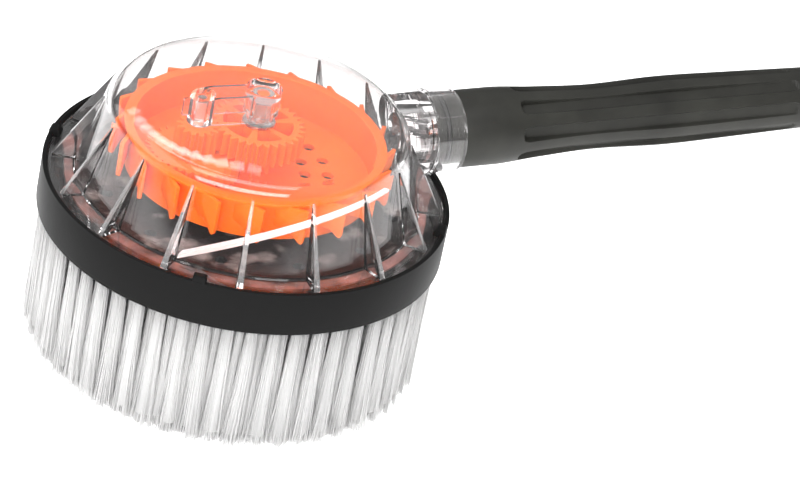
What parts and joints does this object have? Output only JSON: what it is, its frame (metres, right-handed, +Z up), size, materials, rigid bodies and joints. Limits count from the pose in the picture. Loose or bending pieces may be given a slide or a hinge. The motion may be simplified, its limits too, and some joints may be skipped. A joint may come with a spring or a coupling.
{
  "type": "rotary wash brush",
  "caption": "Water-driven rotary wash brush: clear domed housing over an orange turbine and gear train, white bristles under a black skirt, fluted straight handle.",
  "frame": {"origin": "on the brush axis, in the flat plane of the bristle tips", "axes": "+Z up along the brush axis, +X along the handle away from the brush head"},
  "size_m": [0.4136, 0.16, 0.1155],
  "materials": {
    "clear_shell": "clear polished moulding",
    "black_moulding": "satin",
    "grip_moulding": "fine matt grain",
    "orange_moulding": "slightly translucent, satin gloss",
    "bristle": "tufts of stiff nylon filament",
    "natural_nylon": "undyed, slightly translucent",
    "steel": "ground",
    "bronze": "sintered, dull",
    "red_rubber": "matt",
    "black_rubber": "matt"
  },
  "bodies": {
    "housing": {"dome_housing": "clear_shell", "skirt_ring": "black_moulding", "outer_bristles": "bristle", "base_plate": "black_moulding", "base_seal": "red_rubber", "base_bush": "bronze", "upper_bush": "natural_nylon", "thrust_washer": "steel", "layshaft_pin": "natural_nylon", "layshaft_clip": "steel", "jet_nozzle": "clear_shell", "handle_grip": "grip_moulding", "water_tube": "black_moulding", "neck_seal": "black_rubber", "inlet_plug": "black_moulding", "inlet_seal": "black_rubber"},
    "brush": {"output_gear": "orange_moulding", "gear_washer": "steel", "output_shaft": "orange_moulding", "brush_disc": "black_moulding", "disc_washer": "steel", "disc_screw": "steel", "inner_bristles": "bristle"},
    "layshaft": {"layshaft_gear": "orange_moulding"},
    "turbine": {"turbine": "orange_moulding", "turbine_bush": "bronze"}
  },
  "joints": [
    {"name": "brush_spin", "type": "hinge", "parent": "housing", "child": "brush", "pos_m": [0, 0, 0.06], "axis": [0, 0, 1], "continuous": true},
    {"name": "layshaft_spin", "type": "hinge", "parent": "housing", "child": "layshaft", "pos_m": [-0.02475, 0, 0.09], "axis": [0, 0, 1], "continuous": true},
    {"name": "turbine_spin", "type": "hinge", "parent": "housing", "child": "turbine", "pos_m": [0, 0, 0.08], "axis": [0, 0, 1], "continuous": true}
  ],
  "couplings": [
    {"joint": "layshaft_spin", "follows": "brush_spin", "ratio": -2.3846},
    {"joint": "turbine_spin", "follows": "brush_spin", "ratio": 5.6864}
  ]
}
